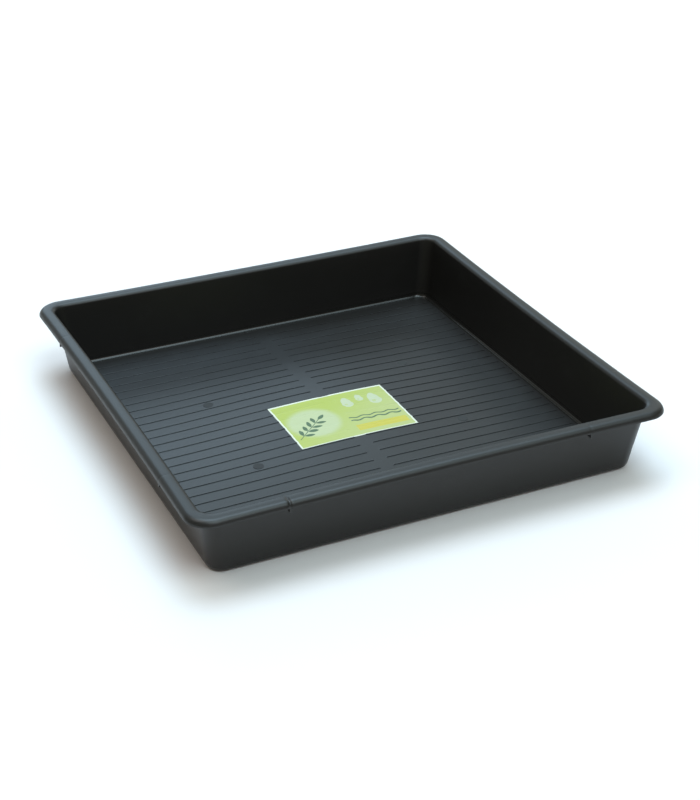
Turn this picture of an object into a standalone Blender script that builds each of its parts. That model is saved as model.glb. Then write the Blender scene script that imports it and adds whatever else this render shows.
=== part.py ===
"""Square drip tray for pots: a one-piece plastic moulding with a paper label stuck to its floor.

Units are metres and +Z is up. The origin is on the ground, under the middle of the tray.
The front side faces -Y. The tray stands on the flat band round the edge of its domed base.
"""

import math

import bmesh
import bpy
from mathutils import Matrix, Vector

# Overall size of the moulding
OVERALL_WIDTH = 0.800
OVERALL_HEIGHT = 0.116
WALL = 0.0022

# Side walls: how far the foot of a wall lies inside its top, and the radius where it meets the floor
WALL_LEAN = 0.0181
FLOOR_RADIUS = 0.0068
CORNER_RADIUS_FOOT = 0.0235
CORNER_RADIUS_TOP = 0.0245

# Rolled rim: out from the top of the wall, over and down
RIM_WIDTH = 0.0246
RIM_INNER_RADIUS = 0.0076
RIM_OUTER_RADIUS = 0.0098
RIM_CORNER_RADIUS = 0.042
LIP_STRAIGHT = 0.0004

# Floor: a flat band to stand on, and a low dome inside it
STANDING_BAND = 0.0165
CROWN = 0.0085

# Ribs across the floor, in two fields with a bare strip between them
RIB_PITCH = 0.0249
RIB_HEIGHT = 0.0007
RIB_FOOT = 0.0020
RIB_CREST = 0.0010
RIB_ROOT = 0.0010
RIB_MARGIN = 0.005
CENTRE_STRIP = 0.023

# Round ejector marks, each midway between the rib of this number and the next one out
MARK_RADIUS = 0.009
MARK_HEIGHT = 0.0004
MARK_SPACING = 0.370
MARK_RIB = 4

# Gussets between the wall and the lip, two on each side
GUSSET_THICKNESS = 0.003
GUSSET_DROP = 0.0078
GUSSET_SPACING = 0.500

# Label: a paper sheet on the crests of the ribs
LABEL_LENGTH = 0.211
LABEL_WIDTH = 0.147
LABEL_THICKNESS = 0.0004
LABEL_OFFSET_X = 0.003
LABEL_OFFSET_Y = -0.0255
LABEL_CLEARANCE = 0.0003

# How finely the round stretches are drawn
CORNER_STEPS = 7
FLOOR_ARC_STEPS = 3
INNER_ARC_STEPS = 4
OUTER_ARC_STEPS = 5
DOME_STEPS = 7
RIB_STEPS = 6
ROWS_PER_CELL = 2
MARK_SIDES = 20
SHARP_ANGLE = math.radians(30)
CUT_TOLERANCE = 1e-7

# Colours of the two materials, as linear red, green and blue, and their roughness
PLASTIC_COLOUR = (0.016, 0.015, 0.014)
PLASTIC_ROUGHNESS = 0.40
PAPER_COLOUR = (0.42, 0.62, 0.08)
PAPER_ROUGHNESS = 0.45

# Sizes that follow from those above
HALF_WIDTH = OVERALL_WIDTH / 2
LEAN_ANGLE = math.atan2(WALL_LEAN, OVERALL_HEIGHT)
FLOOR_ARC_CENTRE_HEIGHT = WALL + FLOOR_RADIUS


def wall_half(height):
    """Half the inside width of the tray at a height, measured to the plain wall."""
    top = HALF_WIDTH - RIM_WIDTH
    return top - WALL_LEAN * (OVERALL_HEIGHT - height) / OVERALL_HEIGHT


FLOOR_ARC_CENTRE = wall_half(FLOOR_ARC_CENTRE_HEIGHT) - FLOOR_RADIUS / math.cos(LEAN_ANGLE)
DOME_HALF = FLOOR_ARC_CENTRE - STANDING_BAND
FIELD_START = CENTRE_STRIP / 2
FIELD_END = FLOOR_ARC_CENTRE - RIB_MARGIN
RIB_ROWS = math.floor(FIELD_END / RIB_PITCH)


def floor_height(x, y):
    """Height of the upper face of the floor: flat at the edge, with a smooth dome inside."""
    if max(abs(x), abs(y)) >= DOME_HALF:
        return WALL
    along = math.cos(math.pi / 2 * x / DOME_HALF) ** 2
    across = math.cos(math.pi / 2 * y / DOME_HALF) ** 2
    return WALL + CROWN * along * across


def arc(centre_out, centre_up, radius, start, end, steps):
    """Points (out, up) of an arc in the tray's section, with both its ends."""
    points = []
    for step in range(steps + 1):
        angle = start + (end - start) * step / steps
        points.append((centre_out + radius * math.cos(angle), centre_up + radius * math.sin(angle)))
    return points


def wall_section():
    """Section of the upper face from the edge of the flat floor, up the wall and over the rim."""
    quarter = math.pi / 2
    floor_arc = arc(
        FLOOR_ARC_CENTRE, FLOOR_ARC_CENTRE_HEIGHT, FLOOR_RADIUS, -quarter, -LEAN_ANGLE, FLOOR_ARC_STEPS
    )
    inner_up = OVERALL_HEIGHT - RIM_INNER_RADIUS
    inner_out = wall_half(inner_up) + RIM_INNER_RADIUS / math.cos(LEAN_ANGLE)
    inner_arc = arc(
        inner_out, inner_up, RIM_INNER_RADIUS, math.pi - LEAN_ANGLE, quarter, INNER_ARC_STEPS
    )
    outer_up = OVERALL_HEIGHT - RIM_OUTER_RADIUS
    outer_arc = arc(
        HALF_WIDTH - RIM_OUTER_RADIUS, outer_up, RIM_OUTER_RADIUS, quarter, 0.0, OUTER_ARC_STEPS
    )
    lip_end = (HALF_WIDTH, outer_up - LIP_STRAIGHT)
    return floor_arc + inner_arc + outer_arc + [lip_end]


def corner_radius(out, up):
    """Radius of the tray's corner in plan, for a point of the section."""
    risen = up / OVERALL_HEIGHT
    wall_radius = CORNER_RADIUS_FOOT + (CORNER_RADIUS_TOP - CORNER_RADIUS_FOOT) * risen
    beyond = out - wall_half(up)
    if beyond <= 0:
        return wall_radius + beyond
    return wall_radius + (RIM_CORNER_RADIUS - wall_radius) * min(1.0, beyond / RIM_WIDTH)


def rounded_square(half, radius, height):
    """Points round a square with rounded corners, anticlockwise from the +X side."""
    points = []
    for quarter in range(4):
        turn = Matrix.Rotation(quarter * math.pi / 2, 4, "Z")
        for step in range(CORNER_STEPS + 1):
            angle = math.pi / 2 * step / CORNER_STEPS
            x = half - radius + radius * math.cos(angle)
            y = half - radius + radius * math.sin(angle)
            points.append(turn @ Vector((x, y, height)))
    return points


def add_loop(mesh, points):
    """Closed loop of edges through the points."""
    verts = [mesh.verts.new(point) for point in points]
    pairs = zip(verts, verts[1:] + verts[:1])
    return [mesh.edges.new(pair) for pair in pairs]


def bridge_along(mesh, loops):
    """Skin of quads from each loop to the next."""
    for first, second in zip(loops, loops[1:]):
        bmesh.ops.bridge_loops(mesh, edges=first + second)


def cut_grid(mesh, half, stations_x, stations_y):
    """Flat square face, cut into cells along the stations."""
    bmesh.ops.create_grid(mesh, x_segments=1, y_segments=1, size=half)
    for axis, stations in ((Vector((1, 0, 0)), stations_x), (Vector((0, 1, 0)), stations_y)):
        for station in stations:
            everything = mesh.verts[:] + mesh.edges[:] + mesh.faces[:]
            bmesh.ops.bisect_plane(
                mesh, geom=everything, dist=CUT_TOLERANCE, plane_co=axis * station, plane_no=axis
            )


def both_sides(values):
    """Each value and its mirror image, in order."""
    return sorted({-value for value in values} | set(values))


def dome_stations():
    """Distances from the middle of the lines across the ribs at which the dome changes slope."""
    return [DOME_HALF * count / DOME_STEPS for count in range(DOME_STEPS)]


def row_stations():
    """Distances from the middle of the lines along the ribs, each but the first midway between two ribs."""
    cells = range(1, RIB_ROWS + 1, ROWS_PER_CELL)
    stations = [(count + 0.5) * RIB_PITCH for count in cells]
    return [0.0] + [station for station in stations if station < DOME_HALF - RIB_FOOT]


def rib_stations():
    """Distances from the middle at which a rib changes slope, clear of the dome's own lines."""
    step = (FIELD_END - FIELD_START) / RIB_STEPS
    return [FIELD_START + step * count for count in range(RIB_STEPS + 1)]


def make_material(name, colour, roughness):
    """Plain opaque material."""
    material = bpy.data.materials.new(name)
    material.use_nodes = True
    shader = material.node_tree.nodes["Principled BSDF"]
    shader.inputs["Base Color"].default_value = (*colour, 1.0)
    shader.inputs["Roughness"].default_value = roughness
    shader.inputs["Metallic"].default_value = 0.0
    material.diffuse_color = (*colour, 1.0)
    return material


def make_collection(name):
    """New collection, linked to the scene."""
    collection = bpy.data.collections.new(name)
    bpy.context.scene.collection.children.link(collection)
    return collection


def make_object(name, mesh, collection, material=None):
    """Object from a finished bmesh."""
    data = bpy.data.meshes.new(name)
    mesh.to_mesh(data)
    mesh.free()
    obj = bpy.data.objects.new(name, data)
    collection.objects.link(obj)
    if material:
        data.materials.append(material)
    return obj


def make_shell(collection, material):
    """Moulded shell: its upper face as an open surface, given its wall by Solidify."""
    mesh = bmesh.new()
    cut_grid(mesh, DOME_HALF, both_sides(dome_stations()), both_sides(row_stations()))
    for vert in mesh.verts:
        vert.co.z = floor_height(vert.co.x, vert.co.y)
    dome_edge = [edge for edge in mesh.edges if edge.is_boundary]
    section = wall_section()
    loops = [add_loop(mesh, rounded_square(out, corner_radius(out, up), up)) for out, up in section]
    bmesh.ops.triangle_fill(mesh, use_beauty=True, edges=dome_edge + loops[0], normal=(0, 0, 1))
    bridge_along(mesh, loops)
    bmesh.ops.recalc_face_normals(mesh, faces=mesh.faces[:])
    middle = min(mesh.faces, key=lambda face: face.calc_center_median().length)
    if middle.normal.z < 0:
        bmesh.ops.reverse_faces(mesh, faces=mesh.faces[:])
    shell = make_object("tray", mesh, collection, material)
    solidify = shell.modifiers.new("wall", "SOLIDIFY")
    solidify.thickness = WALL
    solidify.offset = -1.0
    solidify.use_even_offset = True
    return shell


def rib_profile(x, row):
    """Trapezoid across a rib, its sloping sides carried on below the floor's face."""
    y = row * RIB_PITCH
    base = floor_height(x, y)
    slope = (RIB_FOOT - RIB_CREST) / 2 / RIB_HEIGHT
    root_half = RIB_FOOT / 2 + slope * RIB_ROOT
    crest_half = RIB_CREST / 2
    corners = (
        (-root_half, -RIB_ROOT),
        (root_half, -RIB_ROOT),
        (crest_half, RIB_HEIGHT),
        (-crest_half, RIB_HEIGHT),
    )
    return [Vector((x, y + across, base + up)) for across, up in corners]


def add_rib(mesh, stations, row):
    """Rib swept along the stations, so that it follows the dome."""
    loops = [add_loop(mesh, rib_profile(station, row)) for station in stations]
    bridge_along(mesh, loops)
    for end in (loops[0], loops[-1]):
        bmesh.ops.contextual_create(mesh, geom=end)


def make_ribs(collection):
    """All the ribs, as bars to be fused with the floor."""
    mesh = bmesh.new()
    stations = rib_stations()
    for row in range(-RIB_ROWS, RIB_ROWS + 1):
        add_rib(mesh, stations, row)
        add_rib(mesh, [-station for station in stations], row)
    bmesh.ops.recalc_face_normals(mesh, faces=mesh.faces[:])
    return make_object("ribs", mesh, collection)


def make_marks(collection):
    """Four flat discs left by the ejector pins, to be fused with the floor."""
    mesh = bmesh.new()
    across = (MARK_RIB + 0.5) * RIB_PITCH
    for x in (-MARK_SPACING / 2, MARK_SPACING / 2):
        for y in (-across, across):
            middle = floor_height(x, y) + (MARK_HEIGHT - RIB_ROOT) / 2
            bmesh.ops.create_cone(
                mesh,
                cap_ends=True,
                segments=MARK_SIDES,
                radius1=MARK_RADIUS,
                radius2=MARK_RADIUS,
                depth=MARK_HEIGHT + RIB_ROOT,
                matrix=Matrix.Translation((x, y, middle)),
            )
    return make_object("ejector_marks", mesh, collection)


def gusset_outline():
    """Outline (out, up) of a gusset, its edges sunk to the middle of the wall, rim and lip."""
    sunk = WALL / 2
    lip_end = OVERALL_HEIGHT - RIM_OUTER_RADIUS - LIP_STRAIGHT
    low = lip_end - GUSSET_DROP
    high = OVERALL_HEIGHT - sunk
    lip_arc = arc(
        HALF_WIDTH - RIM_OUTER_RADIUS,
        OVERALL_HEIGHT - RIM_OUTER_RADIUS,
        RIM_OUTER_RADIUS - sunk,
        0.0,
        math.pi / 2,
        OUTER_ARC_STEPS,
    )
    inner_out = wall_half(OVERALL_HEIGHT - RIM_INNER_RADIUS) + RIM_INNER_RADIUS
    wall_top = OVERALL_HEIGHT - RIM_INNER_RADIUS
    wall_side = [(inner_out, high), (wall_half(wall_top) + sunk, wall_top), (wall_half(low) + sunk, low)]
    return [(HALF_WIDTH - sunk, low)] + lip_arc + wall_side


def make_gussets(collection):
    """Eight upright plates under the rim, to be fused with the shell."""
    mesh = bmesh.new()
    for side in range(4):
        turn = Matrix.Rotation(side * math.pi / 2, 4, "Z")
        for place in (-GUSSET_SPACING / 2, GUSSET_SPACING / 2):
            start = place - GUSSET_THICKNESS / 2
            points = [turn @ Vector((out, start, up)) for out, up in gusset_outline()]
            face = mesh.faces.new([mesh.verts.new(point) for point in points])
            extruded = bmesh.ops.extrude_face_region(mesh, geom=[face], use_keep_orig=True)
            moved = [item for item in extruded["geom"] if isinstance(item, bmesh.types.BMVert)]
            bmesh.ops.translate(mesh, verts=moved, vec=turn @ Vector((0, GUSSET_THICKNESS, 0)))
    bmesh.ops.recalc_face_normals(mesh, faces=mesh.faces[:])
    return make_object("gussets", mesh, collection)


def fuse(body, addition):
    """Join an addition to a body by a Boolean union, and hide the addition."""
    union = body.modifiers.new(addition.name, "BOOLEAN")
    union.operation = "UNION"
    union.solver = "EXACT"
    union.object = addition
    addition.hide_render = True
    addition.display_type = "WIRE"


def make_label(collection, material):
    """Paper label: a thin sheet that lies over the dome on the crests of the ribs."""
    mesh = bmesh.new()
    cells_x = math.ceil(LABEL_LENGTH / RIB_PITCH)
    cells_y = math.ceil(LABEL_WIDTH / RIB_PITCH)
    bmesh.ops.create_grid(mesh, x_segments=cells_x, y_segments=cells_y, size=LABEL_WIDTH / 2)
    lift = RIB_HEIGHT + LABEL_CLEARANCE + LABEL_THICKNESS
    for vert in mesh.verts:
        vert.co.x = LABEL_OFFSET_X + vert.co.x * LABEL_LENGTH / LABEL_WIDTH
        vert.co.y = LABEL_OFFSET_Y + vert.co.y
        vert.co.z = floor_height(vert.co.x, vert.co.y) + lift
    label = make_object("label", mesh, collection, material)
    solidify = label.modifiers.new("sheet", "SOLIDIFY")
    solidify.thickness = LABEL_THICKNESS
    solidify.offset = -1.0
    solidify.use_even_offset = True
    return label


def clear_scene():
    """Remove whatever the scene holds."""
    for obj in list(bpy.data.objects):
        bpy.data.objects.remove(obj, do_unlink=True)


def main():
    """Build the tray and its label."""
    clear_scene()
    parts = make_collection("square_drip_tray")
    helpers = make_collection("helpers")
    plastic = make_material("black_plastic", PLASTIC_COLOUR, PLASTIC_ROUGHNESS)
    paper = make_material("label_paper", PAPER_COLOUR, PAPER_ROUGHNESS)
    tray = make_shell(parts, plastic)
    fuse(tray, make_ribs(helpers))
    fuse(tray, make_marks(helpers))
    fuse(tray, make_gussets(helpers))
    label = make_label(parts, paper)
    for obj in (tray, label):
        obj.data.shade_smooth()
        obj.data.set_sharp_from_angle(angle=SHARP_ANGLE)


main()
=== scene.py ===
"""Looks of a square drip tray: a moulded black shell, and a paper label stuck to its floor.

Every length is in metres and +Z is up. The origin is on the ground under the middle of the
tray, and the front side faces -Y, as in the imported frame.
"""

import logging
import math
from dataclasses import dataclass
from enum import Enum
from typing import Any, Iterable, Sequence

import bmesh
import bpy
from mathutils import Matrix, Vector, noise


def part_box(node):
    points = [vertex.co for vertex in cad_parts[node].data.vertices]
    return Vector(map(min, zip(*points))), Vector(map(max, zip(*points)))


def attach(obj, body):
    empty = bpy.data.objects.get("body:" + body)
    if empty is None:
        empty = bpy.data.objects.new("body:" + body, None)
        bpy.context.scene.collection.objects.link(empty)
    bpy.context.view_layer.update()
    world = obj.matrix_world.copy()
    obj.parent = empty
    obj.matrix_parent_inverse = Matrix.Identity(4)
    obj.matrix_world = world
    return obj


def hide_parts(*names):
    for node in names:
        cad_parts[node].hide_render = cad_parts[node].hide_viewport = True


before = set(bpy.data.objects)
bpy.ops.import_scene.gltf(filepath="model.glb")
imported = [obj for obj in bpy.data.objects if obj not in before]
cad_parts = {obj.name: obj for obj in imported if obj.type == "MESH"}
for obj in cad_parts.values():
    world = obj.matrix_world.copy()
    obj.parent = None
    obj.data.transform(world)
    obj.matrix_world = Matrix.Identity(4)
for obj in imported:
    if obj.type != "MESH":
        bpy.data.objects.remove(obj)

log = logging.getLogger("drip_tray")

Colour = tuple[float, float, float]
Point = tuple[float, float]


class Side(Enum):
    """A side of the tray, as the direction (x, y) that it faces, anticlockwise from +X."""

    RIGHT = (1, 0)
    BACK = (0, 1)
    LEFT = (-1, 0)
    FRONT = (0, -1)

    @classmethod
    def nearest(cls, x: float, y: float) -> "Side":
        """The side that a point lies towards.

        Args:
            x: Place of the point along X.
            y: Place of the point along Y.

        Returns:
            The side.
        """
        if abs(x) > abs(y):
            return cls.RIGHT if x > 0 else cls.LEFT
        return cls.BACK if y > 0 else cls.FRONT

    def along(self, x: float, y: float) -> float:
        """How far along the side a point lies, anticlockwise from its middle."""
        out_x, out_y = self.value
        return y * out_x - x * out_y

    def turn(self) -> Matrix:
        """The turn about +Z that brings the right side here."""
        return Matrix.Rotation(list(Side).index(self) * math.pi / 2, 4, "Z")


class Socket:
    """Output of a shader node, on which Python's operators add Math nodes."""

    def __init__(self, graph: "Graph", source: bpy.types.NodeSocket) -> None:
        """Wrap a socket.

        Args:
            graph: The node tree that holds the socket.
            source: The output socket.
        """
        self.graph = graph
        self.source = source

    def _math(self, operation: str, *values: Any) -> "Socket":
        """One Math node on these values."""
        return self.graph.math(operation, *values)

    def __add__(self, other: Any) -> "Socket":
        """Sum."""
        return self._math("ADD", self, other)

    def __radd__(self, other: Any) -> "Socket":
        """Sum, reflected."""
        return self._math("ADD", other, self)

    def __sub__(self, other: Any) -> "Socket":
        """Difference."""
        return self._math("SUBTRACT", self, other)

    def __rsub__(self, other: Any) -> "Socket":
        """Difference, reflected."""
        return self._math("SUBTRACT", other, self)

    def __mul__(self, other: Any) -> "Socket":
        """Product."""
        return self._math("MULTIPLY", self, other)

    def __rmul__(self, other: Any) -> "Socket":
        """Product, reflected."""
        return self._math("MULTIPLY", other, self)

    def __pow__(self, other: Any) -> "Socket":
        """Power."""
        return self._math("POWER", self, other)

    def __neg__(self) -> "Socket":
        """Negative."""
        return self._math("MULTIPLY", self, -1.0)

    def __abs__(self) -> "Socket":
        """Absolute value."""
        return self._math("ABSOLUTE", self)


class Graph:
    """A node tree, written as expressions on sockets."""

    def __init__(self, tree: bpy.types.NodeTree) -> None:
        """Wrap a node tree.

        Args:
            tree: The tree that receives the nodes.
        """
        self.tree = tree

    def node(
        self, kind: str, settings: dict[str, Any] | None = None, output: Any = 0, **inputs: Any
    ) -> Socket:
        """Add any node.

        Args:
            kind: The node's type, without its ShaderNode prefix.
            settings: Properties of the node, set before its sockets.
            output: Name or number of the output to return.
            **inputs: Values or links for its inputs, by name with _ for a space, or i0, i1 by number.

        Returns:
            The output asked for.
        """
        made = self.tree.nodes.new("ShaderNode" + kind)
        for key, value in (settings or {}).items():
            setattr(made, key, value)
        for key, value in inputs.items():
            numbered = key[0] == "i" and key[1:].isdigit()
            self.feed(made.inputs[int(key[1:]) if numbered else key.replace("_", " ")], value)
        return Socket(self, made.outputs[output])

    def feed(self, target: bpy.types.NodeSocket, value: Any) -> None:
        """Link a socket to an input, or set the input's own value.

        Args:
            target: The input.
            value: A socket, a number, a vector or a colour.
        """
        if isinstance(value, Socket):
            self.tree.links.new(value.source, target)
        elif isinstance(value, tuple) and target.type == "RGBA":
            target.default_value = (*value, 1.0)
        else:
            target.default_value = value

    def math(self, operation: str, *values: Any, clamp: bool = False) -> Socket:
        """Add a Math node."""
        numbered = {f"i{place}": value for place, value in enumerate(values)}
        return self.node("Math", {"operation": operation, "use_clamp": clamp}, **numbered)

    def clamp(self, value: Socket) -> Socket:
        """Hold a value between 0 and 1."""
        return self.math("ADD", value, 0.0, clamp=True)

    def step(self, value: Socket, low: float, high: float) -> Socket:
        """Smooth rise from 0 to 1 as a value goes from low to high, or a fall if high is the lower.

        Args:
            value: The value that changes.
            low: Where the result is 0.
            high: Where the result is 1.

        Returns:
            The result.
        """
        settings = {"interpolation_type": "SMOOTHSTEP"}
        if low <= high:
            return self.node("MapRange", settings, Value=value, From_Min=low, From_Max=high)
        return 1.0 - self.node("MapRange", settings, Value=value, From_Min=high, From_Max=low)

    def reach(self, x: Socket, y: Socket) -> Socket:
        """Distance of (x, y) from the origin."""
        return self.math("SQRT", x ** 2.0 + y ** 2.0)

    def mix(self, share: Any, first: Any, second: Any) -> Socket:
        """Lay one colour over another.

        Args:
            share: How much of the second colour shows, from 0 to 1.
            first: The colour below.
            second: The colour above.

        Returns:
            The joined colour.
        """
        settings = {"data_type": "RGBA", "clamp_factor": True}
        return self.node("Mix", settings, output=2, i0=share, i6=first, i7=second)

    def parts(self, vector: Socket) -> tuple[Socket, Socket, Socket]:
        """X, Y and Z of a vector.

        Args:
            vector: The vector.

        Returns:
            Its three parts.
        """
        made = self.tree.nodes.new("ShaderNodeSeparateXYZ")
        self.feed(made.inputs[0], vector)
        return tuple(Socket(self, out) for out in made.outputs)


class Shader(Graph):
    """A material's node tree."""

    def __init__(self, name: str) -> None:
        """Start an opaque material with a Principled shader and nothing else.

        Args:
            name: The material's name.
        """
        self.material = bpy.data.materials.new(name)
        self.material.use_nodes = True
        super().__init__(self.material.node_tree)
        self.surface = self.tree.nodes["Principled BSDF"]

    def set(self, **inputs: Any) -> None:
        """Feed inputs of the Principled shader, by name with _ for a space."""
        for key, value in inputs.items():
            self.feed(self.surface.inputs[key.replace("_", " ")], value)

    def place(
        self, offset: Sequence[float] = (0, 0, 0), turn: float = 0.0, scale: Sequence[float] = (1, 1, 1)
    ) -> Socket:
        """Object coordinates, moved, then turned about Z and stretched.

        Args:
            offset: The point that becomes the origin.
            turn: Angle in radians that the pattern is turned by.
            scale: Factors along the turned axes.

        Returns:
            The coordinates.
        """
        coords = self.node("TexCoord", output="Object")
        away = tuple(-value for value in offset)
        moved = self.node("Mapping", Vector=coords, Location=away)
        return self.node("Mapping", Vector=moved, Rotation=(0.0, 0.0, -turn), Scale=tuple(scale))

    def cloud(
        self,
        vector: Socket,
        scale: float,
        detail: float = 2.0,
        roughness: float = 0.5,
        distortion: float = 0.0,
    ) -> Socket:
        """Noise from 0 to 1.

        Args:
            vector: The coordinates.
            scale: How many features lie in a metre.
            detail: How many finer layers are added.
            roughness: How strong the finer layers are.
            distortion: How far the pattern is stirred.

        Returns:
            The noise.
        """
        return self.node(
            "TexNoise", Vector=vector, Scale=scale, Detail=detail, Roughness=roughness, Distortion=distortion
        )

    def bump(self, height: Socket, distance: float, strength: float, normal: Socket | None = None) -> Socket:
        """Bump node on a height.

        Args:
            height: The height, from 0 to 1.
            distance: What a height of 1 stands for.
            strength: How much of the bump shows.
            normal: A normal to add it to.

        Returns:
            The normal.
        """
        inputs = {"Height": height, "Distance": distance, "Strength": strength}
        if normal is not None:
            inputs["Normal"] = normal
        return self.node("Bump", **inputs)


@dataclass(frozen=True)
class BlackPlastic:
    """Injection-moulded black plastic: satin, glossier in the floor's fillet, dusty and lightly scuffed,
    with painted light: a pale bluish patch of painted reflection on the left of the floor, and painted sheen
    on the ejector marks on the right.

    Densities count the features of a pattern in a metre.
    """

    mark_radius: float
    mark_places: tuple[Point, ...]
    fillet_start: float
    fillet_height: float
    fillet_end: float = 0.364
    colour: Colour = (0.0100, 0.0094, 0.0086)
    colour_spread: float = 1.35
    roughness: float = 0.34
    broad_dullness: float = 0.08
    patch_dullness: float = 0.04
    mark_dullness: float = 0.36
    wear_dullness: float = 0.20
    fillet_gloss: float = 0.22
    index: float = 1.5
    broad_density: float = 5.0
    patch_density: float = 26.0
    speck_density: float = 420.0
    dust_and_sheen_colour: Colour = (0.052, 0.055, 0.056)
    dust_share: float = 0.22
    scratch_share: float = 0.30
    # Lightening of the ejector marks: a little dust on every mark, and painted sheen on the marks on the
    # right.
    mark_dust: float = 0.04
    painted_sheen_right: float = 0.50
    painted_sheen_change: float = 0.05
    scratch_turns: Point = (0.5, -0.9)
    scratch_offsets: Point = (0.11, 0.37)
    # Painted reflection: a pale bluish patch painted over the left of the floor.
    painted_light_colour: Colour = (0.0245, 0.0265, 0.0290)
    painted_light_place: Point = (-0.19, 0.12)
    painted_light_reach: float = 0.40
    painted_light_edge: float = 0.33
    painted_light_top: float = 0.018
    painted_light_full: float = 0.013
    painted_light_least: float = 0.75
    painted_light_patches: float = 0.5
    grain_density: float = 1100.0
    grain_depth: float = 0.00002
    peel_density: float = 70.0
    peel_depth: float = 0.00012

    def marks(self, shader: Shader, x: Socket, y: Socket) -> Socket:
        """Find the round ejector marks.

        Args:
            shader: The material.
            x: Object coordinate X.
            y: Object coordinate Y.

        Returns:
            1 inside a mark, 0 elsewhere.
        """
        found = None
        for place_x, place_y in self.mark_places:
            away = shader.reach(x - place_x, y - place_y)
            inside = shader.step(away, self.mark_radius * 1.06, self.mark_radius * 0.9)
            found = inside if found is None else shader.math("MAXIMUM", found, inside)
        return found

    def streaks(self, shader: Shader, turn: float, offset: float) -> Socket:
        """Sparse long scratches that run one way.

        Args:
            shader: The material.
            turn: Angle in radians that they run at.
            offset: A shift that sets one set apart from the next.

        Returns:
            1 in a scratch, 0 elsewhere.
        """
        along = shader.place((offset, offset, 0.0), turn, (7.0, 620.0, 60.0))
        lines = shader.cloud(along, 1.0, 2.0, 0.5, 0.3)
        where = shader.cloud(shader.place((offset, 0.3, 0.1)), 9.0, 2.0)
        return shader.step(lines, 0.70, 0.78) * shader.step(where, 0.5, 0.62)

    def polish(self, shader: Shader, out: Socket, z: Socket) -> Socket:
        """Find the smoother fillet between floor and walls.

        Args:
            shader: The material.
            out: Distance from the middle, towards the nearest side.
            z: Object coordinate Z.

        Returns:
            1 in the fillet, 0 elsewhere.
        """
        within = shader.step(out, self.fillet_start - 0.004, self.fillet_start + 0.002)
        low = shader.step(z, self.fillet_height + 0.004, self.fillet_height)
        return within * low * shader.step(out, self.fillet_end, self.fillet_end - 0.003)

    def floor_painted_light(self, shader: Shader, x: Socket, y: Socket, z: Socket, out: Socket) -> Socket:
        """Find the pale bluish patch of painted reflected light on the left of the floor.

        Args:
            shader: The material.
            x: Object coordinate X.
            y: Object coordinate Y.
            z: Object coordinate Z.
            out: Distance from the middle, towards the nearest side.

        Returns:
            1 in the thick of the film, 0 where there is none.
        """
        away = shader.reach(x - self.painted_light_place[0], y - self.painted_light_place[1])
        spread = shader.step(away, self.painted_light_reach, self.painted_light_reach * 0.35)
        on_floor = shader.step(z, self.painted_light_top, self.painted_light_full)
        return spread * on_floor * shader.step(out, self.fillet_start, self.painted_light_edge)

    def dress(self, name: str) -> bpy.types.Material:
        """Make the material.

        Args:
            name: The material's name.

        Returns:
            The material.
        """
        shader = Shader(name)
        coords = shader.place()
        x, y, z = shader.parts(coords)
        out = shader.math("MAXIMUM", abs(x), abs(y))
        broad = shader.cloud(coords, self.broad_density, 3.0, 0.55)
        patches = shader.cloud(coords, self.patch_density, 4.0, 0.6)
        specks = shader.cloud(coords, self.speck_density)
        dust = shader.step(specks * 0.55 + patches * 0.45, 0.54, 0.70) * shader.step(broad, 0.35, 0.65)
        streaks = [self.streaks(shader, *pair) for pair in zip(self.scratch_turns, self.scratch_offsets)]
        scratches = shader.math("MAXIMUM", *streaks)
        marks = self.marks(shader, x, y)
        # Painted sheen: the ejector marks on the right half of the floor are painted lighter, towards the
        # dust colour, standing in for the light they catch there; every mark also takes a little dust.
        sheen_rightward = shader.step(x, -self.painted_sheen_change, self.painted_sheen_change)
        mark_dust_and_sheen = marks * (self.mark_dust + self.painted_sheen_right * sheen_rightward)
        wear_and_sheen = shader.clamp(dust * self.dust_share + scratches * self.scratch_share + mark_dust_and_sheen)
        tone = shader.mix(broad, self.colour, tuple(value * self.colour_spread for value in self.colour))
        # Painted reflection: a pale bluish patch is painted over the left of the floor, standing in for
        # reflected light, made uneven by the patches noise.
        floor_painted_light = self.floor_painted_light(shader, x, y, z, out) * (self.painted_light_least + patches * self.painted_light_patches)
        tone = shader.mix(floor_painted_light, tone, self.painted_light_colour)
        dull = self.roughness + broad * self.broad_dullness + patches * self.patch_dullness
        dull = dull + marks * self.mark_dullness + wear_and_sheen * self.wear_dullness
        shader.set(
            Base_Color=shader.mix(wear_and_sheen, tone, self.dust_and_sheen_colour),
            Roughness=shader.clamp(dull - self.polish(shader, out, z) * self.fillet_gloss),
            IOR=self.index,
        )
        grain = shader.bump(shader.cloud(coords, self.grain_density), self.grain_depth, 0.5)
        peel = shader.cloud(coords, self.peel_density)
        shader.set(Normal=shader.bump(peel, self.peel_depth, 0.35, grain))
        return shader.material


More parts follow.
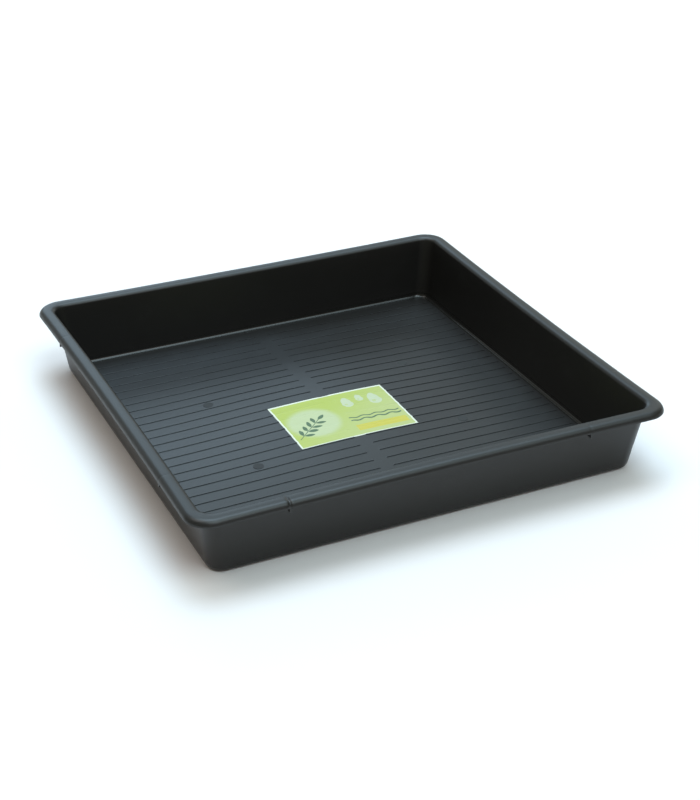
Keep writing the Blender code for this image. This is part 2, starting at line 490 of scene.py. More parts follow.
@dataclass(frozen=True)
class PrintedPaper:
    """Glossy paper label: lime green with a white border, a leafy sprig, drops and ripples.

    Its design is drawn in (u, v), which start at its middle and run along X and Y.
    """

    middle: Point = (0.003, -0.0255)
    half_length: float = 0.1055
    half_width: float = 0.0735
    border: float = 0.0030
    border_white: Colour = (0.74, 0.76, 0.64)
    white: Colour = (0.52, 0.57, 0.38)
    lime: Colour = (0.42, 0.49, 0.080)
    pale: Colour = (0.46, 0.51, 0.19)
    deep: Colour = (0.060, 0.125, 0.055)
    yellow: Colour = (0.56, 0.49, 0.050)
    ink_edge: float = 0.0006
    circle_middle: Point = (-0.054, -0.004)
    circle_radius: float = 0.049
    sprig_foot: Point = (-0.087, -0.037)
    sprig_turn: float = math.radians(42)
    stem_half: float = 0.0007
    stem_start: float = -0.012
    stem_end: float = 0.062
    leaf_pitch: float = 0.0150
    leaf_pairs: int = 4
    leaf_lean: float = math.radians(48)
    leaf_out: float = 0.0078
    leaf_length: float = 0.0185
    leaf_width: float = 0.0072
    tip_length: float = 0.0200
    tip_width: float = 0.0078
    tip_gap: float = 0.0075
    drops: tuple[tuple[float, float, float], ...] = (
        (0.024, 0.030, 0.0100),
        (0.050, 0.040, 0.0070),
        (0.074, 0.026, 0.0115),
    )
    ripple_heights: Point = (-0.016, -0.026)
    ripple_width: float = 0.0030
    ripple_pitch: float = 0.024
    ripple_swing: float = 0.0016
    ripple_start: float = 0.004
    ripple_end: float = 0.098
    ripple_fade: float = 0.002
    bar_middle: Point = (0.051, -0.050)
    bar_half_length: float = 0.046
    bar_half_width: float = 0.009

    def mask(self, shader: Shader, distance: Socket) -> Socket:
        """1 where a distance to a printed outline is negative, with a thin soft edge."""
        return shader.step(distance, self.ink_edge / 2, -self.ink_edge / 2)

    def disc(self, shader: Shader, u: Socket, v: Socket, radius: float) -> Socket:
        """Distance to a circle about the origin."""
        return shader.reach(u, v) - radius

    def leaf(self, shader: Shader, s: Socket, t: Socket, length: float, width: float) -> Socket:
        """Distance to a pointed oval: the part that two equal circles share.

        Args:
            shader: The material.
            s: Place along the leaf, from its middle.
            t: Place across the leaf, from its middle.
            length: The leaf's length.
            width: The leaf's width.

        Returns:
            The distance, negative inside.
        """
        half, side = length / 2, width / 2
        radius = (half * half + side * side) / (2 * side)
        return shader.reach(s, abs(t) + (radius - side)) - radius

    def sprig(self, shader: Shader, u: Socket, v: Socket) -> Socket:
        """Distance to a stem with pairs of leaves, which grows along +u from the origin.

        Args:
            shader: The material.
            u: Place along the stem.
            v: Place across the stem.

        Returns:
            The distance, negative inside.
        """
        crown = self.leaf_pitch * self.leaf_pairs
        cell = shader.math("MODULO", u, self.leaf_pitch) - self.leaf_pitch * 0.5
        side = abs(v) - self.leaf_out
        s = cell * math.cos(self.leaf_lean) + side * math.sin(self.leaf_lean)
        t = side * math.cos(self.leaf_lean) - cell * math.sin(self.leaf_lean)
        pairs = self.leaf(shader, s, t, self.leaf_length, self.leaf_width)
        pairs = shader.math("MAXIMUM", pairs, shader.math("MAXIMUM", -u, u - crown))
        tip = self.leaf(shader, u - (crown + self.tip_gap), v, self.tip_length, self.tip_width)
        ends = shader.math("MAXIMUM", self.stem_start - u, u - self.stem_end)
        stem = shader.math("MAXIMUM", abs(v) - self.stem_half, ends)
        return shader.math("MINIMUM", shader.math("MINIMUM", pairs, tip), stem)

    def drop(self, shader: Shader, u: Socket, v: Socket, radius: float) -> Socket:
        """Distance to a water drop with its point above.

        Args:
            shader: The material.
            u: Place across the drop, from the middle of its body.
            v: Place up the drop, from the middle of its body.
            radius: Radius of its body.

        Returns:
            The distance, negative inside.
        """
        body = self.disc(shader, u, v, radius)
        point = self.leaf(shader, v - radius * 0.75, u, radius * 3.1, radius * 1.72)
        return shader.math("MINIMUM", body, point)

    def ripple(self, shader: Shader, u: Socket, v: Socket, height: float) -> Socket:
        """Distance to a wavy line, level with the label."""
        wave = shader.math("SINE", u * (2 * math.pi / self.ripple_pitch)) * self.ripple_swing
        return abs(v - height - wave) - self.ripple_width / 2

    def ground(self, shader: Shader, u: Socket, v: Socket, coords: Socket) -> Socket:
        """Lime that pales towards one corner, with a soft pale circle on it.

        Args:
            shader: The material.
            u: Place along the label.
            v: Place across the label.
            coords: Object coordinates.

        Returns:
            The colour.
        """
        fade = shader.step(u * 0.8 - v + shader.cloud(coords, 14.0) * 0.03, -0.06, 0.12)
        ink = shader.mix(fade, self.lime, self.pale)
        glow = self.disc(shader, u - self.circle_middle[0], v - self.circle_middle[1], self.circle_radius)
        return shader.mix(shader.step(glow, 0.004, -0.012) * 0.75, ink, self.white)

    def add_drops(self, shader: Shader, ink: Socket, u: Socket, v: Socket) -> Socket:
        """Print the drops, each with a glint.

        Args:
            shader: The material.
            ink: The colour below.
            u: Place along the label.
            v: Place across the label.

        Returns:
            The colour.
        """
        for place_u, place_v, radius in self.drops:
            across, up = u - place_u, v - place_v
            ink = shader.mix(self.mask(shader, self.drop(shader, across, up, radius)), ink, self.white)
            glint = self.disc(shader, across + radius * 0.3, up + radius * 0.1, radius * 0.32)
            ink = shader.mix(self.mask(shader, glint) * 0.5, ink, self.lime)
        return ink

    def add_lines(self, shader: Shader, ink: Socket, u: Socket, v: Socket) -> Socket:
        """Print the ripples and the yellow bar under them.

        Args:
            shader: The material.
            ink: The colour below.
            u: Place along the label.
            v: Place across the label.

        Returns:
            The colour.
        """
        within = shader.step(u, self.ripple_start, self.ripple_start + self.ripple_fade)
        within = within * shader.step(u, self.ripple_end, self.ripple_end - self.ripple_fade)
        for height in self.ripple_heights:
            line = self.mask(shader, self.ripple(shader, u, v, height)) * within
            ink = shader.mix(line, ink, self.deep)
        past_end = abs(u - self.bar_middle[0]) - self.bar_half_length
        past_side = abs(v - self.bar_middle[1]) - self.bar_half_width
        bar = self.mask(shader, shader.math("MAXIMUM", past_end, past_side))
        return shader.mix(bar, ink, self.yellow)

    def dress(self, name: str) -> bpy.types.Material:
        """Make the material.

        Args:
            name: The material's name.

        Returns:
            The material.
        """
        shader = Shader(name)
        u, v, _ = shader.parts(shader.place((*self.middle, 0.0)))
        coords = shader.place()
        ink = self.ground(shader, u, v, coords)
        foot = (self.middle[0] + self.sprig_foot[0], self.middle[1] + self.sprig_foot[1], 0.0)
        along, across, _ = shader.parts(shader.place(foot, self.sprig_turn))
        ink = shader.mix(self.mask(shader, self.sprig(shader, along, across)), ink, self.deep)
        ink = self.add_drops(shader, ink, u, v)
        ink = self.add_lines(shader, ink, u, v)
        edge_u = self.half_length - self.border - abs(u)
        edge_v = self.half_width - self.border - abs(v)
        margin = self.mask(shader, shader.math("MINIMUM", edge_u, edge_v))
        ink = shader.mix(margin, ink, self.border_white)
        fibres = shader.cloud(coords, 700.0, 3.0, 0.6)
        ink = shader.mix(shader.step(fibres, 0.35, 0.8) * 0.10, ink, self.white)
        shader.set(Base_Color=ink, Roughness=0.38 + fibres * 0.12, IOR=1.45)
        shader.set(Normal=shader.bump(fibres, 0.00003, 0.4))
        return shader.material


@dataclass(frozen=True)
class StudioPaper:
    """Matt pale paper under the tray."""

    colour: Colour = (0.92, 0.87, 0.86)
    mottle: float = 0.985

    def dress(self, name: str) -> bpy.types.Material:
        """Make the material.

        Args:
            name: The material's name.

        Returns:
            The material.
        """
        shader = Shader(name)
        cloud = shader.cloud(shader.place(), 3.0, 3.0)
        darker = tuple(value * self.mottle for value in self.colour)
        shader.set(Base_Color=shader.mix(cloud, self.colour, darker), Roughness=0.9)
        return shader.material


def ease(value: float, low: float, high: float) -> float:
    """Smooth rise from 0 to 1 as value goes from low to high."""
    share = min(1.0, max(0.0, (value - low) / (high - low)))
    return share * share * (3 - 2 * share)


def uneven(place: Sequence[float], density: float) -> float:
    """Smooth noise about 0.5, from 0 to 1, at a place."""
    return 0.5 + 0.5 * noise.noise(Vector(place) * density)


def both_sides(values: Iterable[float]) -> list[float]:
    """Each value and its mirror image, in order."""
    return sorted({-value for value in values} | set(values))


def make_piece(
    name: str, mesh: bmesh.types.BMesh, material: bpy.types.Material, sharp: float
) -> bpy.types.Object:
    """Turn a finished bmesh into a linked, smooth-shaded object.

    Args:
        name: The object's name.
        mesh: The bmesh, which is freed.
        material: Its material.
        sharp: Angle in radians from which an edge shows as sharp.

    Returns:
        The object.
    """
    data = bpy.data.meshes.new(name)
    mesh.to_mesh(data)
    mesh.free()
    piece = bpy.data.objects.new(name, data)
    bpy.context.scene.collection.objects.link(piece)
    data.materials.append(material)
    data.shade_smooth()
    data.set_sharp_from_angle(angle=sharp)
    return piece


def add_loop(mesh: bmesh.types.BMesh, points: Sequence[Vector]) -> list[bmesh.types.BMEdge]:
    """Add a closed loop of edges through the points."""
    verts = [mesh.verts.new(point) for point in points]
    return [mesh.edges.new(pair) for pair in zip(verts, verts[1:] + verts[:1])]


def arc(middle: Point, radius: float, start: float, end: float, steps: int) -> list[Point]:
    """Points (out, up) of an arc in a section, with both its ends."""
    turns = [start + (end - start) * step / steps for step in range(steps + 1)]
    return [(middle[0] + radius * math.cos(turn), middle[1] + radius * math.sin(turn)) for turn in turns]


@dataclass(frozen=True)
class Dent:
    """A narrow hollow across the rim, as plastic draws in over a gusset when it cools."""

    side: Side
    along: float
    depth: float
    width: float = 0.0022

    def pull(self, side: Side, along: float) -> float:
        """How deep the hollow is at a place.

        Args:
            side: The side of the tray.
            along: How far along that side.

        Returns:
            The depth.
        """
        if side != self.side:
            return 0.0
        return self.depth * math.exp(-(((along - self.along) / self.width) ** 2))


@dataclass
class TrayShell:
    """The moulding: domed and ribbed floor, leaning walls, rolled rim, gussets and ejector marks."""

    half: float
    height: float
    wall: float = 0.0022
    wall_lean: float = 0.0181
    floor_radius: float = 0.0068
    corner_foot: float = 0.0235
    corner_top: float = 0.0245
    rim_width: float = 0.0246
    rim_inner: float = 0.0076
    rim_outer: float = 0.0098
    rim_corner: float = 0.042
    rim_tilt: float = math.radians(8)
    rim_uneven: float = 0.0003
    lip_straight: float = 0.0004
    lip_round: float = 0.0007
    lip_wave: float = 0.0004
    lip_edge: float = math.radians(60)
    standing_band: float = 0.0165
    crown: float = 0.0085
    warp: float = 0.0004
    rib_pitch: float = 0.0249
    rib_height: float = 0.0009
    rib_foot: float = 0.0020
    rib_crest: float = 0.0010
    rib_front: float = 0.0001
    rib_edge: float = 0.00015
    rib_margin: float = 0.005
    rib_end: float = 0.0012
    rib_guard: float = 0.0003
    rib_cells: int = 14
    centre_strip: float = 0.023
    mark_radius: float = 0.009
    mark_height: float = 0.0003
    mark_spacing: float = 0.370
    mark_rows: float = 4.5
    mark_segments: int = 40
    gusset_thickness: float = 0.003
    gusset_drop: float = 0.0078
    gusset_spacing: float = 0.500
    gusset_round: float = 0.0004
    bow: float = 0.0046
    wall_uneven: float = 0.0005
    dent_depth: float = 0.0002
    deep_dent: float = 0.0013
    dent_steps: tuple[float, ...] = (0.0, 0.001, 0.002, 0.003, 0.0045, 0.007, 0.012)
    side_step: float = 0.02
    side_steps: int = 16
    side_clear: float = 0.014
    fillet_steps: int = 8
    wall_steps: int = 6
    inner_steps: int = 9
    crest_steps: int = 4
    outer_steps: int = 12
    corner_steps: int = 16
    gusset_steps: int = 8
    sharp: float = math.radians(60)

    def __post_init__(self) -> None:
        """Work out the sizes that follow from the others."""
        self.lean = math.atan2(self.wall_lean, self.height)
        self.floor_up = self.wall + self.floor_radius
        self.floor_out = self.wall_half(self.floor_up) - self.floor_radius / math.cos(self.lean)
        self.dome_half = self.floor_out - self.standing_band
        self.field_start = self.centre_strip / 2
        self.field_end = self.floor_out - self.rib_margin
        self.grid_half = self.field_end + self.rib_end + self.rib_guard
        self.rows = math.floor(self.field_end / self.rib_pitch)
        self.lip_low = self.height - self.rim_outer - self.lip_straight
        self.gusset_places = (-self.gusset_spacing / 2, self.gusset_spacing / 2)
        self.dents = [Dent(side, place, self.dent_depth) for side in Side for place in self.gusset_places]
        self.dents.append(Dent(Side.FRONT, self.gusset_places[0], self.deep_dent))

    def wall_half(self, up: float) -> float:
        """Half the inside width at a height, measured to the plain wall."""
        return self.half - self.rim_width - self.wall_lean * (self.height - up) / self.height

    def floor_height(self, x: float, y: float) -> float:
        """Height of the floor's upper face, without ribs.

        Args:
            x: Place along X.
            y: Place along Y.

        Returns:
            The height.
        """
        if max(abs(x), abs(y)) >= self.dome_half:
            return self.wall
        along = math.cos(math.pi / 2 * x / self.dome_half) ** 2
        across = math.cos(math.pi / 2 * y / self.dome_half) ** 2
        return self.wall + self.crown * along * across

    def floor_swell(self, x: float, y: float) -> float:
        """How far the floor lies above its true dome, as a real moulding warps a little.

        Args:
            x: Place along X.
            y: Place along Y.

        Returns:
            The rise.
        """
        out = max(abs(x), abs(y))
        if out >= self.dome_half:
            return 0.0
        inner = 1 - ease(out, self.dome_half * 0.85, self.dome_half)
        return self.warp * uneven((x, y, 4.0), 9.0) * inner

    def rib_section(self) -> list[Point]:
        """Section (across, up) of a rib: steep towards the front, with a tight edge, and sloping behind.

        Returns:
            Its points, from the front foot to the back foot.
        """
        foot, top = -self.rib_foot / 2, self.rib_height
        edge = foot + self.rib_front
        return [
            (foot, 0.0),
            (edge, top - self.rib_edge),
            (edge + self.rib_edge * 0.3, top - self.rib_edge * 0.3),
            (edge + self.rib_edge, top),
            (self.rib_crest / 2, top),
            (self.rib_foot / 2, 0.0),
        ]

    def rib_rise(self, x: float, y: float) -> float:
        """How far the nearest rib stands above the floor at a point.

        Args:
            x: Place along X.
            y: Place along Y.

        Returns:
            The rise, 0 between ribs.
        """
        row = round(y / self.rib_pitch)
        if abs(row) > self.rows:
            return 0.0
        across = y - row * self.rib_pitch
        rise = 0.0
        section = self.rib_section()
        for (start, low), (end, high) in zip(section, section[1:]):
            if start <= across <= end:
                rise = low + (high - low) * (across - start) / (end - start)
        for place, way in ((self.field_start, 1), (self.field_end, -1)):
            rise *= min(1.0, max(0.0, 0.5 + way * (abs(x) - place) / self.rib_end))
        return rise

    def mark_places(self) -> list[Point]:
        """Middles of the four ejector marks."""
        x, y = self.mark_spacing / 2, self.mark_rows * self.rib_pitch
        return [(-x, -y), (-x, y), (x, -y), (x, y)]

    def stations_x(self) -> list[float]:
        """Lines across the ribs: close together at the ribs' ends, wide apart along them.

        Returns:
            Their places along X, in order.
        """
        reach = self.rib_end / 2
        ends = (-reach - self.rib_guard, -reach, reach, reach + self.rib_guard)
        found = [place + step for place in (self.field_start, self.field_end) for step in ends]
        low, high = self.field_start + ends[-1], self.field_end + ends[0]
        found += [low + (high - low) * step / self.rib_cells for step in range(1, self.rib_cells)]
        return both_sides(found + [0.0, self.grid_half])

    def stations_y(self) -> list[float]:
        """Lines along the ribs: several over each rib, and two between each pair.

        Returns:
            Their places along Y, in order.
        """
        guard = self.rib_foot / 2 + self.rib_guard
        over = [-guard] + [across for across, _ in self.rib_section()] + [guard]
        rows = range(-self.rows, self.rows + 1)
        found = [row * self.rib_pitch + step for row in rows for step in over]
        found += [(row + share) * self.rib_pitch for row in rows[:-1] for share in (0.33, 0.67)]
        return sorted(found + [-self.dome_half, self.dome_half])

    def add_floor(self, mesh: bmesh.types.BMesh) -> list[bmesh.types.BMEdge]:
        """Add the ribbed field of the floor, as a grid drawn onto its stations.

        Args:
            mesh: The bmesh that receives it.

        Returns:
            The edges round it.
        """
        across, along = self.stations_x(), self.stations_y()
        cells_x, cells_y = len(across) - 1, len(along) - 1
        bmesh.ops.create_grid(mesh, x_segments=cells_x, y_segments=cells_y, size=1.0)
        for vert in mesh.verts:
            x = across[round((vert.co.x + 1) / 2 * cells_x)]
            y = along[round((vert.co.y + 1) / 2 * cells_y)]
            vert.co = (x, y, self.floor_height(x, y))
        return [edge for edge in mesh.edges if edge.is_boundary]

    def section(self) -> list[Point]:
        """Section (out, up) of the upper face, from the flat of the floor over the rim to the lip.

        Returns:
            Its points, in that order.
        """
        quarter, tilt = math.pi / 2, self.rim_tilt
        reach = (self.rim_inner + self.rim_outer) * math.sin(tilt)
        flat = self.rim_width - self.rim_outer - self.rim_inner / math.cos(self.lean)
        rise = (flat + reach) / 4 * math.tan(tilt)
        inner_up = self.height - rise - self.rim_inner * math.cos(tilt)
        inner = (self.wall_half(inner_up) + self.rim_inner / math.cos(self.lean), inner_up)
        outer = (self.half - self.rim_outer, self.height - rise - self.rim_outer * math.cos(tilt))
        fillet = (self.floor_out, self.floor_up)
        points = arc(fillet, self.floor_radius, -quarter, -self.lean, self.fillet_steps)
        low, high = points[-1][1], inner_up + self.rim_inner * math.sin(self.lean)
        heights = [low + (high - low) * step / self.wall_steps for step in range(1, self.wall_steps)]
        points += [(self.wall_half(up), up) for up in heights]
        points += arc(inner, self.rim_inner, math.pi - self.lean, quarter + tilt, self.inner_steps)
        start, end = points[-1][0], outer[0] + self.rim_outer * math.sin(tilt)
        for step in range(1, self.crest_steps):
            share = step / self.crest_steps
            points.append((start + (end - start) * share, self.height - rise * (2 * share - 1) ** 2))
        points += arc(outer, self.rim_outer, quarter - tilt, 0.0, self.outer_steps)
        return points + [(self.half, self.lip_low)]

    def corner_radius(self, out: float, up: float) -> float:
        """Radius of the corner in plan for a point of the section.

        Args:
            out: The point's distance from the middle.
            up: Its height.

        Returns:
            The radius.
        """
        wall_radius = self.corner_foot + (self.corner_top - self.corner_foot) * up / self.height
        beyond = out - self.wall_half(up)
        if beyond <= 0:
            return wall_radius + beyond
        return wall_radius + (self.rim_corner - wall_radius) * min(1.0, beyond / self.rim_width)

    def side_stations(self) -> list[float]:
        """Places along a side: even, and close together over the gussets.

        Returns:
            The places, in order.
        """
        gusset = self.gusset_spacing / 2
        found = [gusset + step for step in both_sides(self.dent_steps)]
        plain = [self.side_step * step for step in range(self.side_steps)]
        found += [place for place in plain if abs(place - gusset) > self.side_clear]
        return both_sides(found)

    def ring(self, half: float, radius: float, up: float) -> list[Vector]:
        """Points round a square with rounded corners, anticlockwise.

        Args:
            half: Half the square's width.
            radius: Radius of its corners.
            up: Its height above the ground.

        Returns:
            The points.
        """
        straight = half - radius
        points = []
        for side in Side:
            turn = side.turn()
            for along in [-straight] + self.side_stations():
                points.append(turn @ Vector((half, along, up)))
            for step in range(self.corner_steps):
                angle = math.pi / 2 * step / self.corner_steps
                corner = (straight + radius * math.cos(angle), straight + radius * math.sin(angle), up)
                points.append(turn @ Vector(corner))
        return points

    def raise_ribs(self, mesh: bmesh.types.BMesh) -> None:
        """Lift the upper face of the floor where a rib runs.

        Args:
            mesh: The shell, with its wall's thickness.
        """
        for vert in mesh.verts:
            x, y, z = vert.co
            inside = abs(x) < self.grid_half and abs(y) < self.dome_half
            if inside and z > self.floor_height(x, y) - self.wall / 2:
                vert.co.z += self.rib_rise(x, y)

    def round_lip(self, mesh: bmesh.types.BMesh) -> None:
        """Round the two edges of the lip's lower end.

        Args:
            mesh: The shell, with its wall's thickness.
        """
        sharp = [
            edge
            for edge in mesh.edges
            if edge.calc_face_angle(0.0) > self.lip_edge and edge.verts[0].co.z > self.lip_low - self.wall
        ]
        bmesh.ops.bevel(
            mesh, geom=sharp, affect="EDGES", offset=self.lip_round, segments=3, profile=0.5, material=-1
        )

    def gusset_outline(self) -> list[Point]:
        """Outline (out, up) of a gusset, its edges sunk to the middle of the wall, rim and lip.

        Returns:
            Its points, from the foot of the lip round over the rim and down the wall.
        """
        sunk = self.wall / 2
        low = self.lip_low - self.gusset_drop
        wall_top = self.height - self.rim_inner
        roll = (self.half - self.rim_outer, self.height - self.rim_outer)
        inner = [
            (self.wall_half(wall_top) + self.rim_inner, self.height - sunk),
            (self.wall_half(wall_top) + sunk, wall_top),
            (self.wall_half(low) + sunk, low),
        ]
        lip = arc(roll, self.rim_outer - sunk, 0.0, math.pi / 2, self.gusset_steps)
        return [(self.half - sunk, low)] + lip + inner

    def add_gussets(self, mesh: bmesh.types.BMesh) -> None:
        """Add the eight upright plates under the rim, with softened edges.

        Args:
            mesh: The bmesh that receives them.
        """
        before = set(mesh.edges)
        for side in Side:
            turn = side.turn()
            for place in self.gusset_places:
                start = place - self.gusset_thickness / 2
                points = [turn @ Vector((out, start, up)) for out, up in self.gusset_outline()]
                face = mesh.faces.new([mesh.verts.new(point) for point in points])
                made = bmesh.ops.extrude_face_region(mesh, geom=[face], use_keep_orig=True)["geom"]
                moved = [item for item in made if isinstance(item, bmesh.types.BMVert)]
                bmesh.ops.translate(mesh, verts=moved, vec=turn @ Vector((0, self.gusset_thickness, 0)))
        foot = self.lip_low - self.gusset_drop / 2
        fresh = [edge for edge in mesh.edges if edge not in before]
        sharp = [edge for edge in fresh if max(vert.co.z for vert in edge.verts) < foot]
        bmesh.ops.bevel(
            mesh, geom=sharp, affect="EDGES", offset=self.gusset_round, segments=2, profile=0.5, material=-1
        )

    def add_marks(self, mesh: bmesh.types.BMesh) -> None:
        """Add the four low discs left by the ejector pins.

        Args:
            mesh: The bmesh that receives them.
        """
        depth = self.mark_height + self.wall / 2
        for x, y in self.mark_places():
            up = self.floor_height(x, y) + self.mark_height - depth / 2
            bmesh.ops.create_cone(
                mesh,
                cap_ends=True,
                segments=self.mark_segments,
                radius1=self.mark_radius,
                radius2=self.mark_radius - self.mark_height,
                depth=depth,
                matrix=Matrix.Translation((x, y, up)),
            )

    def press_dents(self, vert: bmesh.types.BMVert) -> None:
        """Draw the rim in where a gusset stands below it.

        Args:
            vert: A point of the moulding.
        """
        x, y, z = vert.co
        out = max(abs(x), abs(y))
        if z < self.lip_low - self.wall or out < self.half - self.rim_width:
            return
        side = Side.nearest(x, y)
        deep = sum(dent.pull(side, side.along(x, y)) for dent in self.dents)
        deep *= ease(out, self.half - self.rim_width, self.half - self.rim_outer)
        roll = Vector((self.half - self.rim_outer, self.height - self.rim_outer))
        away = Vector((max(0.0, out - roll.x), max(0.001, z - roll.y))).normalized()
        vert.co.x -= side.value[0] * away.x * deep
        vert.co.y -= side.value[1] * away.x * deep
        vert.co.z -= away.y * deep

    def bend(self, vert: bmesh.types.BMVert) -> None:
        """Bow the sides inward, and make the walls slightly uneven.

        Args:
            vert: A point of the moulding.
        """
        x, y, z = vert.co
        rough = self.wall_uneven * uneven((x, y, z * 0.4), 7.0) * ease(z, 0.004, 0.06)
        for axis, (here, beside) in enumerate(((x, y), (y, x))):
            bowed = self.bow * (1 - min(1.0, abs(beside) / self.half) ** 2) * (z / self.height)
            reach = ease(abs(here), self.dome_half * 0.8, self.floor_out)
            vert.co[axis] -= math.copysign((bowed + rough) * reach, here)

    def settle(self, mesh: bmesh.types.BMesh) -> None:
        """Give the whole moulding the slight faults of a real one.

        Args:
            mesh: The moulding.
        """
        for vert in mesh.verts:
            self.press_dents(vert)
            x, y, z = vert.co
            self.bend(vert)
            vert.co.z += self.floor_swell(x, y)
            out = max(abs(x), abs(y))
            if z > self.lip_low - self.wall and out > self.half - self.rim_width:
                vert.co.z -= self.rim_uneven * uneven((x, y, 8.0), 11.0)
            at_lip = self.height / 2 < z < self.lip_low + self.lip_round
            if at_lip and out > self.half - 2 * self.wall:
                vert.co.z += self.lip_wave * noise.noise(Vector((x, y, 1.0)) * 60.0)

    def build(self, material: bpy.types.Material) -> bpy.types.Object:
        """Build the moulding and set it in the frame.

        Args:
            material: The plastic.

        Returns:
            The piece.
        """
        mesh = bmesh.new()
        edge = self.add_floor(mesh)
        rings = [self.ring(out, self.corner_radius(out, up), up) for out, up in self.section()]
        loops = [add_loop(mesh, ring) for ring in rings]
        bmesh.ops.triangle_fill(mesh, use_beauty=True, edges=edge + loops[0], normal=(0, 0, 1))
        for first, second in zip(loops, loops[1:]):
            bmesh.ops.bridge_loops(mesh, edges=first + second)
        bmesh.ops.recalc_face_normals(mesh, faces=mesh.faces[:])
        middle = min(mesh.faces, key=lambda face: face.calc_center_median().length)
        if middle.normal.z < 0:
            bmesh.ops.reverse_faces(mesh, faces=mesh.faces[:])
        bmesh.ops.solidify(mesh, geom=mesh.faces[:], thickness=self.wall)
        bmesh.ops.recalc_face_normals(mesh, faces=mesh.faces[:])
        self.raise_ribs(mesh)
        self.round_lip(mesh)
        self.add_gussets(mesh)
        self.add_marks(mesh)
        self.settle(mesh)
        bmesh.ops.recalc_face_normals(mesh, faces=mesh.faces[:])
        piece = make_piece("tray_shell", mesh, material, self.sharp)
        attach(piece, "root")
        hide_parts("tray")
        return piece


@dataclass
class PaperLabel:
    """The label: one sheet stuck to the floor, which rises over each rib in a soft ridge."""

    shell: TrayShell
    paper: PrintedPaper
    thickness: float = 0.00018
    clearance: float = 0.00008
    sag: float = 0.00075
    ridge: float = 0.0026
    ripples: Point = (16.0, 22.0)
    cells_x: int = 96
    cells_y: int = 118
    sharp: float = math.radians(40)

    def lie(self, x: float, y: float) -> float:
        """Height of the sheet's lower face at a point.

        Args:
            x: Place along X.
            y: Place along Y.

        Returns:
            The height.
        """
        shell = self.shell
        away = abs(y - round(y / shell.rib_pitch) * shell.rib_pitch)
        ripple = uneven((x * self.ripples[0], y * self.ripples[1], 2.0), 1.0)
        held = 1 - ease(away, shell.rib_foot / 2, shell.rib_foot / 2 + self.ridge * (0.7 + 0.6 * ripple))
        held *= ease(abs(x), shell.field_start - self.ridge, shell.field_start - shell.rib_end / 2)
        floor = shell.floor_height(x, y) + shell.floor_swell(x, y)
        return floor + shell.rib_height + self.clearance - self.sag * (1 - held)

    def build(self, material: bpy.types.Material) -> bpy.types.Object:
        """Build the label and set it in the frame.

        Args:
            material: The printed paper.

        Returns:
            The piece.
        """
        mesh = bmesh.new()
        bmesh.ops.create_grid(mesh, x_segments=self.cells_x, y_segments=self.cells_y, size=1.0)
        for vert in mesh.verts:
            x = self.paper.middle[0] + self.paper.half_length * vert.co.x
            y = self.paper.middle[1] + self.paper.half_width * vert.co.y
            vert.co = (x, y, self.lie(x, y))
        made = bmesh.ops.extrude_face_region(mesh, geom=mesh.faces[:], use_keep_orig=True)["geom"]
        raised = [item for item in made if isinstance(item, bmesh.types.BMVert)]
        bmesh.ops.translate(mesh, verts=raised, vec=(0.0, 0.0, self.thickness))
        bmesh.ops.recalc_face_normals(mesh, faces=mesh.faces[:])
        piece = make_piece("paper_label", mesh, material, self.sharp)
        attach(piece, "root")
        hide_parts("label")
        return piece


@dataclass(frozen=True)
class SoftLight:
    """A round soft light far away: where it is in the sky, how wide, and how bright its middle is.

    Its angles are in degrees.
    """

    name: str
    azimuth: float
    elevation: float
    spread: float
    radiance: Colour

    def axis(self) -> tuple[float, float, float]:
        """Direction towards its middle. Azimuth runs from +Y towards +X."""
        turn, lift = math.radians(self.azimuth), math.radians(self.elevation)
        return (math.sin(turn) * math.cos(lift), math.cos(turn) * math.cos(lift), math.sin(lift))


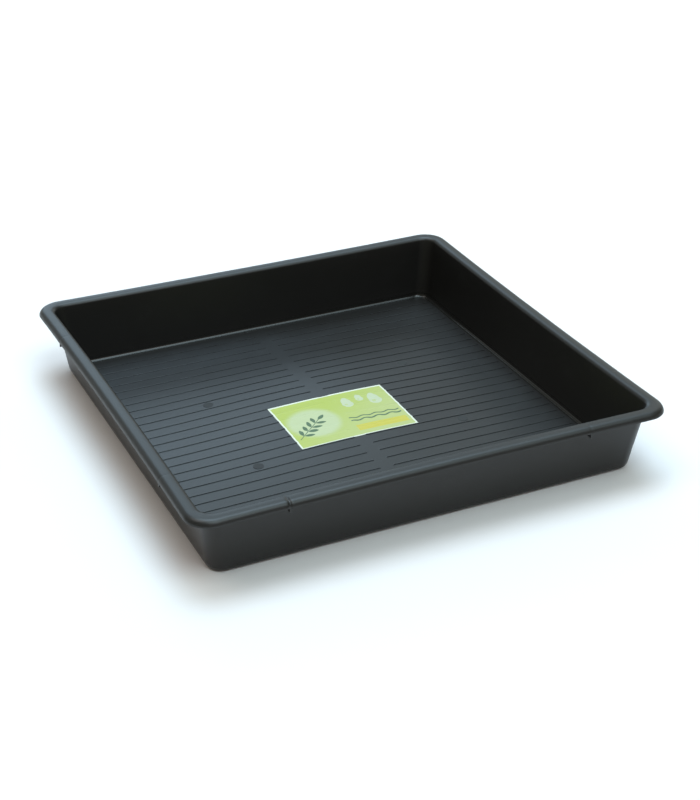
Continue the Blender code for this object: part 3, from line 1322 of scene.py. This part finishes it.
@dataclass
class Studio:
    """Pale floor, soft lights and the camera of the photograph."""

    floor_half: float = 9.0
    floor_gap: float = 0.0002
    camera_place: tuple[float, float, float] = (-1.0103, -2.1985, 1.3412)
    camera_yaw: float = math.radians(25.299)
    camera_pitch: float = math.radians(28.501)
    camera_roll: float = math.radians(0.111)
    camera_lens: float = 73.60
    camera_range: float = 100.0
    sensor: float = 36.0
    ambient: Colour = (0.185, 0.175, 0.135)
    lights: tuple[SoftLight, ...] = (
        SoftLight("overhead_back", 28, 69, 25.4, (4.35, 5.85, 6.95)),
        SoftLight("overhead_front", 164, 64, 27.0, (3.10, 3.95, 4.15)),
        SoftLight("overhead_left", -60, 65, 22.0, (2.70, 2.60, 2.50)),
        SoftLight("low_back", 9, 22, 22.0, (1.55, 2.08, 2.53)),
        SoftLight("low_back_left", -25, 16, 22.0, (0.36, 0.42, 0.46)),
        SoftLight("low_back_right", 50, 20, 24.0, (0.97, 1.06, 1.07)),
        SoftLight("front_fill", 178, 42, 24.0, (0.50, 0.36, 0.46)),
    )

    def add_floor(self, material: bpy.types.Material) -> None:
        """Add the floor, just under the tray.

        Args:
            material: The paper that it is made of.
        """
        mesh = bmesh.new()
        bmesh.ops.create_grid(mesh, x_segments=4, y_segments=4, size=self.floor_half)
        bmesh.ops.translate(mesh, verts=mesh.verts[:], vec=(0.0, 0.0, -self.floor_gap))
        make_piece("studio_floor", mesh, material, math.pi)

    def add_sky(self) -> None:
        """Light the scene from the soft lights, which stand in the sky round it."""
        world = bpy.data.worlds.new("studio_sky")
        world.use_nodes = True
        bpy.context.scene.world = world
        graph = Graph(world.node_tree)
        towards = graph.node("TexCoord", output="Generated")
        total = graph.node("CombineXYZ", i0=self.ambient[0], i1=self.ambient[1], i2=self.ambient[2])
        for light in self.lights:
            cosine = graph.node(
                "VectorMath", {"operation": "DOT_PRODUCT"}, output="Value", i0=towards, i1=light.axis()
            )
            share = graph.step(cosine, math.cos(math.radians(light.spread)), 1.0)
            glow = graph.node("VectorMath", {"operation": "SCALE"}, i0=light.radiance, i3=share)
            total = graph.node("VectorMath", {"operation": "ADD"}, i0=total, i1=glow)
        graph.feed(world.node_tree.nodes["Background"].inputs["Color"], total)

    def add_camera(self) -> None:
        """Add the camera where the photograph was taken from."""
        lens = bpy.data.cameras.new("photo_camera")
        lens.lens = self.camera_lens
        lens.sensor_width = self.sensor
        lens.clip_end = self.camera_range
        camera = bpy.data.objects.new("photo_camera", lens)
        turn = (
            Matrix.Rotation(-self.camera_yaw, 4, "Z")
            @ Matrix.Rotation(math.pi / 2 - self.camera_pitch, 4, "X")
            @ Matrix.Rotation(self.camera_roll, 4, "Z")
        )
        camera.matrix_world = Matrix.Translation(self.camera_place) @ turn
        bpy.context.scene.collection.objects.link(camera)
        bpy.context.scene.camera = camera

    def build(self) -> None:
        """Build the studio."""
        bpy.context.scene.view_settings.view_transform = "Standard"
        self.add_floor(StudioPaper().dress("studio_paper"))
        self.add_sky()
        self.add_camera()


def main() -> None:
    """Build the pieces in order and report each."""
    logging.basicConfig(level=logging.INFO, format="%(name)s: %(message)s")
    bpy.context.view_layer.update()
    Studio().build()
    low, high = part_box("tray")
    shell = TrayShell(half=high[0], height=high[2])
    plastic = BlackPlastic(
        mark_radius=shell.mark_radius,
        mark_places=tuple(shell.mark_places()),
        fillet_start=shell.floor_out,
        fillet_height=shell.floor_up,
    )
    tray = shell.build(plastic.dress("black_plastic_finish"))
    log.info("%s: %d faces", tray.name, len(tray.data.polygons))
    paper = PrintedPaper()
    label = PaperLabel(shell, paper).build(paper.dress("printed_paper"))
    log.info("%s: %d faces", label.name, len(label.data.polygons))


if __name__ == "__main__":
    main()
